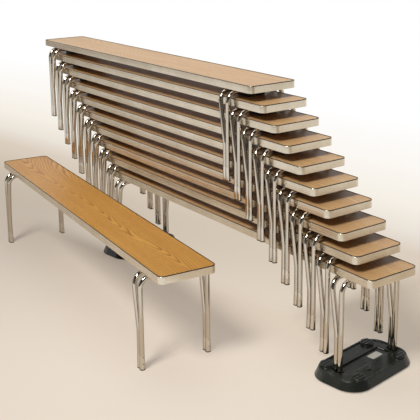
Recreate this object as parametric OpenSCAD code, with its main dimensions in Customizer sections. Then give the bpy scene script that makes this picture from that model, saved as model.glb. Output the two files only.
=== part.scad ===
// A set of identical stacking benches: a nested stack that stands on two low dollies, and one bench beside it.
// Millimetres. +X runs along the stacked benches, +Y points away from the single bench, +Z points up.
// The origin is on the floor, at the middle of the whole set's footprint.

/* [Seat] */
// Length of each seat
seat_l = 1980; // [1600:5:2400]
// Width of each seat
seat_w = 254; // [230:1:320]
// Height of each seat above its own feet
seat_h = 432; // [400:1:480]
// Radius of the seat's corners
corner_r = 25; // [20:1:40]
// Thickness of the laminate board
board_t = 18; // [15:0.5:22]
// Seam round the board
seam = 0.6; // [0.3:0.1:1.2]

/* [Edge frame] */
// Height of the metal edge
edge_h = 31; // [28:0.5:36]
// Wall of the metal edge
edge_t = 2.6; // [2:0.1:3.5]
// Rounding of the edge's upper outer corner
edge_round = 1.8; // [1:0.1:2]
// Width of the ledge under the board
ledge_w = 12; // [8:0.5:16]
// Thickness of the ledge under the board
ledge_t = 2; // [1.5:0.1:3]
// Width of the return lip at the bottom of the edge
lip_w = 6; // [4:0.5:9]

/* [Leg hoops] */
// Outer diameter of the tube
tube_d = 20; // [18:0.5:22]
// Wall of the tube
tube_wall = 1.5; // [1.2:0.1:2]
// From the seat's end to the middle of the outer hoop
end_inset = 127; // [100:1:180]
// From the seat's long edge out to the middle of a leg
leg_out = 24; // [22:0.5:32]
// Radius of the hoop's shoulder bend, at the tube's middle
shoulder_r = 45; // [35:1:60]
// Height at which the inner hoop starts to lean inwards
lean_from = 160; // [120:5:200]
// Radius of the bend where the lean starts
lean_r = 80; // [60:5:120]
// Lean of the inner hoop's upper part, in degrees
lean = 9; // [6:0.5:10]
// Gap between the two tubes of a foot, bridged by the welds
weld_gap = 0.6; // [0.4:0.1:1]

/* [Mounting plates] */
// Width of a mounting plate across the bench
plate_w = 40; // [30:1:50]
// Thickness of a mounting plate
plate_t = 3; // [2:0.5:4]
// Length of a plate beyond the middle of each tube
plate_over = 24; // [20:1:30]
// From the bench's middle to the middle of a plate
plate_y = 80; // [60:1:90]
// Radius of a frame screw's shank
screw_r = 2.2; // [1.8:0.1:2.5]
// Depth to which a frame screw enters the board
screw_depth = 10; // [6:0.5:12]

/* [Feet and pads] */
// Wall of the sleeve round each foot
sleeve_wall = 1.3; // [1:0.1:1.6]
// Height of the sleeve's top above the floor
sleeve_h = 62; // [45:1:75]
// Thickness of the glide under a foot
glide_t = 3; // [2:0.5:5]
// Height of a stacking pad below its tubes
pad_t = 18; // [12:0.5:24]
// Length of a stacking pad across the bench
pad_l = 30; // [20:1:36]
// From the bench's middle to the middle of a pad
pad_y = 30; // [20:1:36]

/* [Stack] */
// Running gap between nested legs
nest_gap = 3.9; // [3:0.1:8]
// Gap under a stacking pad
rest_gap = 0.3; // [0.2:0.1:0.5]

/* [Single bench] */
// Middle of the single bench, along X from the lowest stacked bench
single_x = -512; // [-700:1:-300]
// Middle of the single bench, along Y from the stack
single_y = -487; // [-600:1:-460]
// Turn of the single bench, in degrees
single_turn = -5.8; // [-8:0.1:0]

/* [Dollies] */
// Length of a dolly across the bench
dolly_l = 412; // [400:2:440]
// Width of a dolly along the bench
dolly_w = 248; // [240:2:270]
// Height of a dolly's rim
rim_h = 40; // [38:1:46]
// Spread of a dolly's sloping sides
flare = 15; // [10:1:20]
// Corner radius of a dolly at the bottom of its skirt
dolly_corner_r = 88; // [70:1:92]
// Turn of a dolly under the feet, in degrees
dolly_turn = 8; // [-9:0.5:9]
// How far a dolly's middle lies beyond the middle of the feet, along Y
dolly_shift = -15; // [-18:1:0]
// Gap between the skirt and the floor
skirt_gap = 6; // [4:0.5:10]
// Wall of a dolly
dolly_wall = 3; // [2.5:0.5:4]
// Width of the raised rim
rim_w = 8; // [6:0.5:9]
// Depth of the deck below the rim
deck_drop = 3; // [2:0.5:5]
// Depth of the middle channel below the deck
channel_drop = 5; // [3:0.5:6]
// Width of the middle channel
channel_w = 62; // [56:1:66]
// Height of a foot well's floor above the floor
well_z = 12.7; // [11:0.1:16]
// Gap round a pair of feet in its well
well_gap = 3; // [2:0.5:4]
// Radius of a castor hump
hump_r = 30; // [28:1:32]
// Height of a castor hump above the rim
hump_rise = 6; // [5:0.5:10]
// From a dolly's middle to a castor, across the dolly
castor_x = 78; // [76:1:80]
// From a dolly's middle to a castor, along the dolly
castor_y = 130; // [124:1:132]
// Length of the blank label plate
label_l = 63; // [40:1:70]
// Width of the blank label plate
label_w = 34; // [18:1:40]
// Thickness of the blank label plate
label_t = 0.8; // [0.5:0.1:1.2]

/* [Castors] */
// Radius of a castor wheel
wheel_r = 15; // [13:0.5:15.5]
// Width of a castor wheel
wheel_w = 14; // [10:0.5:16]
// Trail of a castor wheel behind its swivel
trail = 9; // [6:0.5:10]
// Radius of the axle and of the swivel pin
pin_r = 3; // [2.5:0.1:3.5]
// Running clearance of pins in their bores
pin_fit = 0.05; // [0.02:0.01:0.1]
// Thickness of a castor's fork
fork_t = 2.5; // [2:0.1:3]
// Radius of a castor's top plate
castor_plate_r = 24; // [22:0.5:25]

/* [Hidden] */
BENCHES = [for (i = [1:10]) i];
CASTORS = [for (i = [1:8]) i];
function two_digits(i) = str(i < 10 ? "0" : "", i);
$fn = 48;

// Small overlap that joins two shapes of one solid
joint_eps = 0.01;
// A bend is this much thicker than the straight tube, whose ends reach this far into it
bend_swell = 0.15;
bend_bite = 0.2;
// Clearance between the hoops and the edge frame above them
hoop_gap = 0.3;
// Thickness of a weld, its height, and the heights of its middle above the floor
weld_t = 3.2;
weld_w = 6;
weld_h = 24;
weld_z = [88, 140];
// Gap between pieces that are pushed together, such as a sleeve on its tube
assembly_gap = 0.05;
// Head radius and height of a frame screw, and its place on the plate
screw_head_r = 4;
screw_head_h = 2.4;
screw_inset = 7;
// How far a stacking pad reaches past its tubes
pad_side = 3;
// Pips that hold a sleeve on its tubes
pip_r = 1.7;
pip_h = 0.9;
pip_z = [27, 56];
// The plug that a glide pushes into its tube
plug_h = 12;
glide_inset = 0.6;
// Ribs on a castor hump, and the round boss beside a dolly's channel
rib_w = 3;
rib_h = 2;
rib_pitch = 15;
rib_share = 1.1;
boss_r = 15;
boss_h = 4;
boss_x = 52;
boss_y = -40;
boss_dish_r = 7;
boss_dish_h = 2;
hump_draft = 3;
label_x = 2;
label_y = 76;

tube_r = tube_d / 2;
bore_r = tube_r - tube_wall;
// The tubes and sleeves start just above the glide
tube_z = glide_t + assembly_gap;
foot_pitch = tube_d + weld_gap;
sleeve_r = tube_r + sleeve_wall;
leg_y = seat_w / 2 + leg_out;
hoop_x = seat_l / 2 - end_inset;
edge_z = seat_h - edge_h;
board_z = seat_h - board_t;
hoop_z = edge_z - hoop_gap - tube_r;
// The end of the lean's bend, and the lean's length above it up to the hoop's top
lean_x = lean_r * (1 - cos(lean));
lean_z = lean_from + lean_r * sin(lean);
lean_l = (hoop_z - lean_z) / cos(lean);
// How far the inner hoop's top lies from the outer hoop
spread = foot_pitch + lean_x + lean_l * sin(lean);
nest_shift = spread + tube_d + nest_gap;
stack_rise = edge_h + hoop_gap + tube_d + pad_t + rest_gap;
foot_z = well_z + rest_gap;
foot_mid_x = hoop_x - foot_pitch / 2;

deck_z = rim_h - deck_drop;
channel_z = deck_z - channel_drop;
hump_z = rim_h + hump_rise;
castor_top_z = hump_z - dolly_wall;
castor_plate_t = 2.5;
swivel_gap = 0.3;
swivel_r = 14;
swivel_t = 5;
swivel_z = castor_top_z - castor_plate_t - swivel_gap - swivel_t;
cheek_gap = 0.6;
cheek_y = wheel_w / 2 + cheek_gap;
cheek_r = 6.5;
tread_round = 2.5;

// The whole set's reach, from which the origin is worked out, with the dollies turned
stack_n = len(BENCHES) - 1;
turn_c = cos(single_turn);
turn_s = sin(single_turn);
reach_left = -seat_l / 2 - stack_n * nest_shift;
dolly_c = abs(cos(dolly_turn));
dolly_s = abs(sin(dolly_turn));
dolly_reach_x = (dolly_w / 2 - dolly_corner_r) * dolly_c + (dolly_l / 2 - dolly_corner_r) * dolly_s + dolly_corner_r;
dolly_reach_y = (dolly_l / 2 - dolly_corner_r) * dolly_c + (dolly_w / 2 - dolly_corner_r) * dolly_s + dolly_corner_r;
reach_right = max(foot_mid_x + dolly_reach_x, seat_l / 2);
reach_far = max(dolly_shift + dolly_reach_y, leg_y + sleeve_r);
reach_near = single_y + hoop_x * turn_s - leg_y * turn_c - sleeve_r;
origin_x = (reach_left + reach_right) / 2;
origin_y = (reach_near + reach_far) / 2;

steel = [0.78, 0.77, 0.75];
aluminium = [0.76, 0.72, 0.66];
oak = [0.78, 0.56, 0.30];
sleeve_grey = [0.72, 0.70, 0.66];
rubber = [0.10, 0.10, 0.10];
moulded = [0.17, 0.18, 0.17];

module rounded_rect(l, w, r) {
  square([l - 2 * r, w], center = true);
  square([l, w - 2 * r], center = true);
  for (sx = [-1, 1], sy = [-1, 1])
    translate([sx * (l / 2 - r), sy * (w / 2 - r)])
      circle(r = r);
}

module at_stack(i) {
  n = i - 1;
  translate([-n * nest_shift - origin_x, -origin_y, foot_z + n * stack_rise])
    children();
}

module at_single() {
  translate([single_x - origin_x, single_y - origin_y, 0])
    rotate([0, 0, single_turn])
      children();
}

// The four places on a bench where a mounting plate sits
module at_plates() {
  for (mx = [0, 1], sy = [-1, 1])
    mirror([mx, 0, 0])
      translate([hoop_x - spread / 2, sy * plate_y, 0])
        children();
}

module at_screws() {
  at_plates()
    for (sx = [-1, 1])
      translate([sx * (spread / 2 + plate_over - screw_inset), 0, 0])
        children();
}

module seat_board(drilled = false) {
  color(oak)
    difference() {
      translate([0, 0, board_z])
        linear_extrude(board_t)
          rounded_rect(seat_l - 2 * (edge_t + seam), seat_w - 2 * (edge_t + seam), corner_r - edge_t - seam);
      if (drilled)
        at_screws()
          translate([0, 0, board_z - 1])
            cylinder(r = screw_r + assembly_gap, h = screw_depth + 1 + assembly_gap);
    }
}

// Section of the edge: outer wall, rounded top, ledge under the board and lip at the bottom
module edge_section() {
  ledge_top = edge_h - board_t;
  arc = [for (a = [0:18:90]) [edge_round * (cos(a) - 1), edge_h + edge_round * (sin(a) - 1)]];
  translate([corner_r, 0])
    polygon(concat(
      [[0, 0]], arc,
      [[-edge_t, edge_h], [-edge_t, ledge_top], [-edge_t - ledge_w, ledge_top],
       [-edge_t - ledge_w, ledge_top - ledge_t], [-edge_t, ledge_top - ledge_t], [-edge_t, edge_t],
       [-edge_t - lip_w, edge_t], [-edge_t - lip_w, 0]]
    ));
}

module edge_run(l, w) {
  for (a = [0, 180])
    rotate([0, 0, a])
      translate([-l / 2 + corner_r, w / 2 - corner_r, 0])
        rotate([90, 0, 90])
          linear_extrude(l - 2 * corner_r)
            edge_section();
}

module edge_frame() {
  color(aluminium)
    translate([0, 0, edge_z]) {
      edge_run(seat_l, seat_w);
      rotate([0, 0, 90])
        edge_run(seat_w, seat_l);
      for (q = [0:3]) {
        sx = (q == 0 || q == 3) ? 1 : -1;
        sy = q < 2 ? 1 : -1;
        translate([sx * (seat_l / 2 - corner_r), sy * (seat_w / 2 - corner_r), 0])
          rotate([0, 0, 90 * q])
            rotate_extrude(angle = 90)
              edge_section();
      }
    }
}

module ring(swell = 0) {
  difference() {
    circle(r = tube_r + swell);
    circle(r = bore_r - swell);
  }
}

module tube(z0, z1) {
  translate([0, 0, z0])
    linear_extrude(z1 - z0)
      ring();
}

module bend(r, angle) {
  rotate_extrude(angle = angle)
    translate([r, 0])
      ring(bend_swell);
}

// A hoop in its own plane: two legs from z = z0, two shoulders, and the cross tube with its middle at z = h
module hoop(z0, h) {
  cross_l = 2 * (leg_y - shoulder_r);
  for (m = [0, 1])
    mirror([0, m, 0])
      translate([0, leg_y, 0]) {
        tube(z0, h - shoulder_r + bend_bite);
        translate([0, -shoulder_r, h - shoulder_r])
          rotate([90, 0, 90])
            bend(shoulder_r, 90);
      }
  translate([0, -cross_l / 2, h])
    rotate([-90, 0, 0])
      tube(-bend_bite, cross_l + bend_bite);
}

module outer_hoop() {
  translate([hoop_x, 0, 0])
    hoop(tube_z, hoop_z);
}

module inner_hoop() {
  translate([hoop_x - foot_pitch, 0, 0]) {
    for (sy = [-1, 1])
      translate([0, sy * leg_y, 0]) {
        tube(tube_z, lean_from + bend_bite);
        translate([-lean_r, 0, lean_from])
          rotate([90, 0, 0])
            bend(lean_r, lean);
      }
    translate([-lean_x, 0, lean_z])
      rotate([0, -lean, 0])
        hoop(-bend_bite, lean_l);
  }
}

// Beads in the groove between the two tubes of a foot, one solid with the outer tube and butted on the inner one
module foot_welds() {
  for (sy = [-1, 1], z = weld_z)
    translate([0, sy * leg_y, z])
      difference() {
        translate([foot_mid_x, 0, 0])
          cube([weld_t, weld_w, weld_h], center = true);
        translate([hoop_x - foot_pitch, 0, 0])
          cylinder(r = tube_r + assembly_gap, h = 2 * weld_h, center = true);
      }
}

// An inverted channel that stands on both cross tubes, drilled for its two screws
module mounting_plate() {
  l = spread + 2 * plate_over;
  web_z = hoop_z + tube_r + assembly_gap;
  difference() {
    union() {
      translate([-l / 2, -plate_w / 2, board_z - plate_t])
        cube([l, plate_w, plate_t]);
      for (y = [-plate_w / 2, plate_w / 2 - plate_t])
        translate([-l / 2, y, web_z])
          cube([l, plate_t, board_z - plate_t - web_z + joint_eps]);
    }
    for (sx = [-1, 1])
      translate([sx * (spread / 2 + plate_over - screw_inset), 0, board_z - plate_t - 1])
        cylinder(r = screw_r + assembly_gap, h = plate_t + 2);
  }
}

// The welded legs of the right-hand end
module leg_pair() {
  color(steel) {
    outer_hoop();
    inner_hoop();
    foot_welds();
    for (sy = [-1, 1])
      translate([hoop_x - spread / 2, sy * plate_y, 0])
        mounting_plate();
  }
}

module at_feet() {
  for (mx = [0, 1], sy = [-1, 1])
    mirror([mx, 0, 0])
      translate([foot_mid_x, sy * leg_y, 0])
        children();
}

module foot_sleeve() {
  difference() {
    union() {
      for (sx = [-1, 1])
        translate([sx * foot_pitch / 2, 0, tube_z]) {
          cylinder(r = sleeve_r, h = sleeve_h - tube_z);
          for (z = pip_z)
            translate([sx * (sleeve_r - pip_h), 0, z - tube_z])
              rotate([0, sx * 90, 0])
                cylinder(r = pip_r, h = 2 * pip_h);
        }
    }
    for (sx = [-1, 1])
      translate([sx * foot_pitch / 2, 0, 0])
        cylinder(r = tube_r + assembly_gap, h = sleeve_h + 1);
  }
}

module foot_sleeves() {
  color(sleeve_grey)
    at_feet()
      foot_sleeve();
}

module foot_glide() {
  for (sx = [-1, 1])
    translate([sx * foot_pitch / 2, 0, 0]) {
      cylinder(r = sleeve_r - glide_inset, h = glide_t);
      cylinder(r = bore_r - assembly_gap, h = glide_t + plug_h);
    }
}

module foot_glides() {
  color(rubber)
    at_feet()
      foot_glide();
}

// A rubber block that saddles both cross tubes and carries the bench when it is stacked
module stacking_pad() {
  l = spread + tube_d + 2 * pad_side;
  difference() {
    translate([-l / 2, -pad_l / 2, hoop_z - tube_r - pad_t])
      cube([l, pad_l, tube_r + pad_t]);
    for (sx = [-1, 1])
      translate([sx * spread / 2, -pad_l, hoop_z])
        rotate([-90, 0, 0])
          cylinder(r = tube_r + assembly_gap, h = 2 * pad_l);
  }
}
module stacking_pads() {
  color(rubber)
    for (mx = [0, 1], sy = [-1, 1])
      mirror([mx, 0, 0])
        translate([hoop_x - spread / 2, sy * pad_y, 0])
          stacking_pad();
}

module frame_screws() {
  color(steel)
    at_screws()
      translate([0, 0, board_z - plate_t - screw_head_h]) {
        cylinder(r = screw_head_r, h = screw_head_h);
        cylinder(r = screw_r, h = screw_head_h + plate_t + screw_depth);
      }
}

// Both ends' legs of a stacked bench, with its feet and pads
module leg_frame() {
  leg_pair();
  mirror([1, 0, 0])
    leg_pair();
  foot_sleeves();
  foot_glides();
  stacking_pads();
}

// A block with rounded corners whose sides lean in by `lean_in` from bottom to top
module flared_block(l, w, r, z0, z1, lean_in) {
  translate([0, l / 2 - r, z0])
    rotate([90, 0, 0])
      linear_extrude(l - 2 * r)
        polygon([[-w / 2, 0], [w / 2, 0], [w / 2 - lean_in, z1 - z0], [lean_in - w / 2, z1 - z0]]);
  translate([r - w / 2, 0, z0])
    rotate([90, 0, 90])
      linear_extrude(w - 2 * r)
        polygon([[-l / 2, 0], [l / 2, 0], [l / 2 - lean_in, z1 - z0], [lean_in - l / 2, z1 - z0]]);
  for (sx = [-1, 1], sy = [-1, 1])
    translate([sx * (w / 2 - r), sy * (l / 2 - r), z0])
      cylinder(r1 = r, r2 = r - lean_in, h = z1 - z0);
}

module at_castor_places() {
  for (sx = [-1, 1], sy = [-1, 1])
    translate([sx * castor_x, sy * castor_y, 0])
      children();
}

module well_block(side, z0, z1) {
  w = foot_pitch + 2 * (sleeve_r + well_gap + side);
  l = 2 * (sleeve_r + well_gap + side);
  for (sy = [-1, 1])
    translate([-w / 2, sy * leg_y - l / 2, z0])
      cube([w, l, z1 - z0]);
}

module channel_block(side, z0, z1) {
  l = 2 * (leg_y - sleeve_r);
  translate([-channel_w / 2 - side, -l / 2, z0])
    cube([channel_w + 2 * side, l, z1 - z0]);
}

// A dolly lies turned and shifted under the feet, whose wells stay square to the bench
module turned() {
  translate([0, dolly_shift, 0])
    rotate([0, 0, dolly_turn])
      children();
}

module dolly_tray() {
  under_z = deck_z - dolly_wall;
  // How much the sides have leaned in where the deck's underside meets them
  under_lean = flare * (under_z - skirt_gap) / (rim_h - skirt_gap);
  top_l = dolly_l - 2 * flare;
  top_w = dolly_w - 2 * flare;
  top_r = dolly_corner_r - flare;
  color(moulded)
    difference() {
      union() {
        turned() {
          difference() {
            flared_block(dolly_l, dolly_w, dolly_corner_r, skirt_gap, rim_h, flare);
            translate([0, 0, -joint_eps])
              flared_block(dolly_l - 2 * dolly_wall, dolly_w - 2 * dolly_wall, dolly_corner_r - dolly_wall,
                           skirt_gap, under_z, under_lean);
            translate([0, 0, deck_z])
              linear_extrude(rim_h)
                rounded_rect(top_w - 2 * rim_w, top_l - 2 * rim_w, top_r - rim_w);
          }
          channel_block(dolly_wall, channel_z - dolly_wall, deck_z - joint_eps);
          at_castor_places() {
            translate([0, 0, under_z])
              cylinder(r1 = hump_r, r2 = hump_r - hump_draft, h = hump_z - under_z);
            intersection() {
              for (k = [-1:1])
                translate([k * rib_pitch, 0, hump_z])
                  cube([rib_w, 2 * hump_r * rib_share, 2 * rib_h], center = true);
              translate([0, 0, hump_z - rib_h])
                cylinder(r = hump_r - hump_draft, h = 2 * rib_h);
            }
          }
        }
        well_block(dolly_wall, well_z - dolly_wall, deck_z - joint_eps);
      }
      turned() {
        channel_block(0, channel_z, rim_h + 1);
        at_castor_places()
          translate([0, 0, under_z - 1])
            cylinder(r = hump_r - hump_draft - dolly_wall / 2, h = castor_top_z - under_z + 1);
      }
      well_block(0, well_z, rim_h + 1);
    }
  color(moulded)
    turned()
      dolly_boss();
}

module dolly_boss() {
  translate([boss_x, boss_y, deck_z - joint_eps])
    difference() {
      cylinder(r = boss_r, h = boss_h);
      translate([0, 0, boss_h - boss_dish_h])
        cylinder(r = boss_dish_r, h = boss_dish_h + 1);
    }
}

module at_dolly(side) {
  translate([side * foot_mid_x - origin_x, -origin_y, 0])
    children();
}

module label_plate() {
  color([0.74, 0.74, 0.72])
    turned()
      translate([label_x - label_w / 2, label_y - label_l / 2, channel_z])
        cube([label_w, label_l, label_t]);
}

// Castors 1 to 4 are under the left dolly, 5 to 8 under the right one
module at_castor(i) {
  j = (i - 1) % 4;
  x = (j % 2 == 0 ? -1 : 1) * castor_x;
  y = (j < 2 ? -1 : 1) * castor_y;
  at_dolly(i <= 4 ? -1 : 1)
    translate([x * cos(dolly_turn) - y * sin(dolly_turn), dolly_shift + x * sin(dolly_turn) + y * cos(dolly_turn), 0])
      children();
}

module castor_plate() {
  translate([0, 0, castor_top_z - castor_plate_t])
    difference() {
      cylinder(r = castor_plate_r, h = castor_plate_t);
      translate([0, 0, -1])
        cylinder(r = pin_r + pin_fit, h = castor_plate_t + 2);
    }
}

module castor_plates() {
  color(steel)
    for (i = CASTORS)
      at_castor(i)
        castor_plate();
}

module fork_cheek() {
  rotate([90, 0, 0])
    translate([0, 0, -fork_t / 2])
      linear_extrude(fork_t)
        union() {
          polygon([[-swivel_r + 1, swivel_z + 1], [swivel_r - 4, swivel_z + 1],
                   [cheek_r - trail, wheel_r], [-cheek_r - trail, wheel_r]]);
          translate([-trail, wheel_r])
            circle(r = cheek_r);
        }
}

module castor_fork() {
  color(steel) {
    translate([0, 0, swivel_z]) {
      cylinder(r = swivel_r, h = swivel_t);
      cylinder(r = pin_r, h = castor_top_z - swivel_z - pin_fit);
    }
    for (sy = [-1, 1])
      translate([0, sy * (cheek_y + fork_t / 2), 0])
        fork_cheek();
    translate([-trail, cheek_y + fork_t, wheel_r])
      rotate([90, 0, 0])
        cylinder(r = pin_r, h = 2 * (cheek_y + fork_t));
  }
}

module castor_wheel() {
  color(rubber)
    translate([-trail, wheel_w / 2, wheel_r])
      rotate([90, 0, 0])
        difference() {
          union() {
            translate([0, 0, tread_round])
              cylinder(r = wheel_r, h = wheel_w - 2 * tread_round);
            cylinder(r1 = wheel_r - tread_round, r2 = wheel_r, h = tread_round);
            translate([0, 0, wheel_w - tread_round])
              cylinder(r1 = wheel_r, r2 = wheel_r - tread_round, h = tread_round);
          }
          translate([0, 0, -1])
            cylinder(r = pin_r + pin_fit, h = wheel_w + 2);
        }
}

for (i = BENCHES) {
  at_stack(i) seat_board();
  at_stack(i) edge_frame();
  at_stack(i) leg_frame();
}
at_single() seat_board(drilled = true);  // single_seat_board
at_single() edge_frame();  // single_edge_frame
at_single() mirror([1, 0, 0]) leg_pair();  // single_left_legs
at_single() leg_pair();  // single_right_legs
at_single() foot_sleeves();  // single_foot_sleeves
at_single() foot_glides();  // single_foot_glides
at_single() stacking_pads();  // single_stacking_pads
at_single() frame_screws();  // single_frame_screws
at_dolly(-1) dolly_tray();  // left_dolly_tray
at_dolly(1) dolly_tray();  // right_dolly_tray
for (side = [-1, 1]) at_dolly(side) label_plate();  // dolly_label_plates
castor_plates();
for (i = CASTORS) {
  at_castor(i) castor_fork();
  at_castor(i) castor_wheel();
}
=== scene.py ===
# %% [markdown]
# This lesson dresses a set of stacking benches: ten long benches nested in a leaning stack on two low dollies, and one
# bench standing beside them. The solid shapes already exist as a fixed frame. Everything that is made here sits where
# that frame says, so the first cell loads it.

# %% Load the frame
import math

import bmesh
import bpy
from mathutils import Matrix, Vector


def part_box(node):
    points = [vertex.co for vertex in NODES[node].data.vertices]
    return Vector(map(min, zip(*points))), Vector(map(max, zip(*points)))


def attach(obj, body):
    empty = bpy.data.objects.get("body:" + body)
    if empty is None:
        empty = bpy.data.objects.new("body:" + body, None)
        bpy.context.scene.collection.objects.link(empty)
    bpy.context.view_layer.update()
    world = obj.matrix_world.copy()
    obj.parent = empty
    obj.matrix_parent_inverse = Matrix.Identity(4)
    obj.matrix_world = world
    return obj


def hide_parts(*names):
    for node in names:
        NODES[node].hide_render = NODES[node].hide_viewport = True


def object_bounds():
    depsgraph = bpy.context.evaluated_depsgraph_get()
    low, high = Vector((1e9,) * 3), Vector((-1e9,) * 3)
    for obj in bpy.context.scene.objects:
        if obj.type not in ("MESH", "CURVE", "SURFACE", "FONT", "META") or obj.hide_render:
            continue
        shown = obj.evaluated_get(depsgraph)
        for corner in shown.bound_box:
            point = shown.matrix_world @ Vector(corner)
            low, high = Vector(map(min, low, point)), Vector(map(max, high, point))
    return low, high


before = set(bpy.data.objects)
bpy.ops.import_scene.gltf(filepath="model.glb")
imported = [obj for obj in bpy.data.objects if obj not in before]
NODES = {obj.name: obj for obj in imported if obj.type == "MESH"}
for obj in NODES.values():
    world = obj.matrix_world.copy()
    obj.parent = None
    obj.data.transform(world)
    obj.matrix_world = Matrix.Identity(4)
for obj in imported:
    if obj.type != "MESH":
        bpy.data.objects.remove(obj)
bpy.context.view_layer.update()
scene = bpy.context.scene

# %% [markdown]
# The sizes are the real ones, in metres. A bench's own frame has its origin on the floor under the middle of its
# seat, X along the seat and Y across it, so one set of numbers serves all eleven benches. Only the numbers that
# several pieces share stand here, and the others come with the piece that needs them.

# %% Sizes that the pieces of a bench share
SEAT_LENGTH, SEAT_WIDTH, SEAT_HEIGHT = 1.980, 0.254, 0.432
BOARD_THICKNESS, EDGE_HEIGHT = 0.018, 0.031
TUBE_RADIUS = 0.010
# The outer hoop stands this far in from the seat's end, and its legs this far out from the seat's long sides
END_INSET, LEG_OUT = 0.127, 0.024
# The inner hoop bends at this height and leans inwards above it
LEAN_FROM, LEAN_RADIUS, LEAN = 0.160, 0.080, math.radians(9)
# Gaps between the two tubes of a foot, and between a hoop and the edge above it
WELD_GAP, HOOP_GAP = 0.0006, 0.0003
SINGLE_TURN = math.radians(-5.8)

FOOT_PITCH = 2 * TUBE_RADIUS + WELD_GAP
LEG_Y = SEAT_WIDTH / 2 + LEG_OUT
HOOP_X = SEAT_LENGTH / 2 - END_INSET
EDGE_Z = SEAT_HEIGHT - EDGE_HEIGHT
BOARD_Z = SEAT_HEIGHT - BOARD_THICKNESS
HOOP_Z = EDGE_Z - HOOP_GAP - TUBE_RADIUS
LEAN_X = LEAN_RADIUS * (1 - math.cos(LEAN))
LEAN_Z = LEAN_FROM + LEAN_RADIUS * math.sin(LEAN)
SPREAD = FOOT_PITCH + LEAN_X + (HOOP_Z - LEAN_Z) * math.tan(LEAN)
print("hoop spread at the top: %.1f mm" % (SPREAD * 1000))

# %% [markdown]
# A few helpers carry the whole file. Screen colours are written as sRGB hex and turned to linear light once, here.
# Any node of any tree is added by one function, so a tree reads as a list of its nodes: a link is an input's name
# with its blanks as underscores, or _ and its number where two inputs share a name.


# %% Helpers for colours and nodes
def linear(hex_colour):
    """An sRGB hex colour as linear RGBA."""
    channels = [int(hex_colour[i:i + 2], 16) / 255 for i in (1, 3, 5)]
    return tuple(c / 12.92 if c <= 0.04045 else ((c + 0.055) / 1.055) ** 2.4 for c in channels) + (1.0,)


def connect(tree, node, **links):
    """Puts a value or another node's socket on each named input of a node."""
    for key, value in links.items():
        socket = node.inputs[int(key[1:]) if key[0] == "_" else key.replace("_", " ")]
        if isinstance(value, bpy.types.NodeSocket):
            tree.links.new(value, socket)
        else:
            socket.default_value = value


def add(tree, kind, settings=None, stops=(), **links):
    """Adds a node with its settings, the (position, colour) stops of a colour ramp, and what goes on its inputs."""
    node = tree.nodes.new(kind)
    for key, value in (settings or {}).items():
        setattr(node, key, value)
    if stops:
        elements = node.color_ramp.elements
        while len(elements) < len(stops):
            elements.new(0.5)
        for element, (position, colour) in zip(elements, stops):
            element.position, element.color = position, colour
    connect(tree, node, **links)
    return node


def new_material(name):
    """A material with only its output and a Principled shader, whose tree the caller fills in."""
    material = bpy.data.materials.new(name)
    material.use_nodes = True
    tree = material.node_tree
    shader = next(n for n in tree.nodes if n.type == "BSDF_PRINCIPLED")
    return material, tree, shader


BLACK, PALE_GREY, WHITE = [(v, v, v, 1.0) for v in (0.0, 0.75, 1.0)]

# %% [markdown]
# The seat is oak-pattern laminate: printed paper under clear melamine. The eye sees warm yellow-brown, nested flame
# shapes where the print follows a flat-sawn plank, short dark pores along the grain, and a soft sheen that turns
# pale at a low angle. A picture of wood could be laid on the board, but it would repeat on eleven seats. Here the
# contour lines of a height that is drawn out along the seat give the flames, and a far more stretched noise gives
# the pores. Each board lies at its own height, so it cuts its own piece of the pattern.

# %% Oak laminate
# Dark lines of the print: how many per metre across the plank, per metre along it, and per swell of the pattern
LINES_ACROSS, LINES_ALONG, LINES_PER_SWELL = 110.0, 7.0, 8.0
# How far the flames' middle line wanders across the plank, and how blunt their tips are, in square metres
WANDER, BLUNTNESS = 0.24, 0.0006
# Cycles per metre along, across and up of the wandering, the swell, the pores and the broad light and dark
DRIFT_SCALE, SWELL_SCALE = (1.1, 1.5, 11.0), (1.6, 10.0, 9.0)
PORE_SCALE, BROAD_SCALE = (26.0, 640.0, 9.0), (2.2, 26.0, 9.0)
PORE_STRENGTH = 0.45


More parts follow.
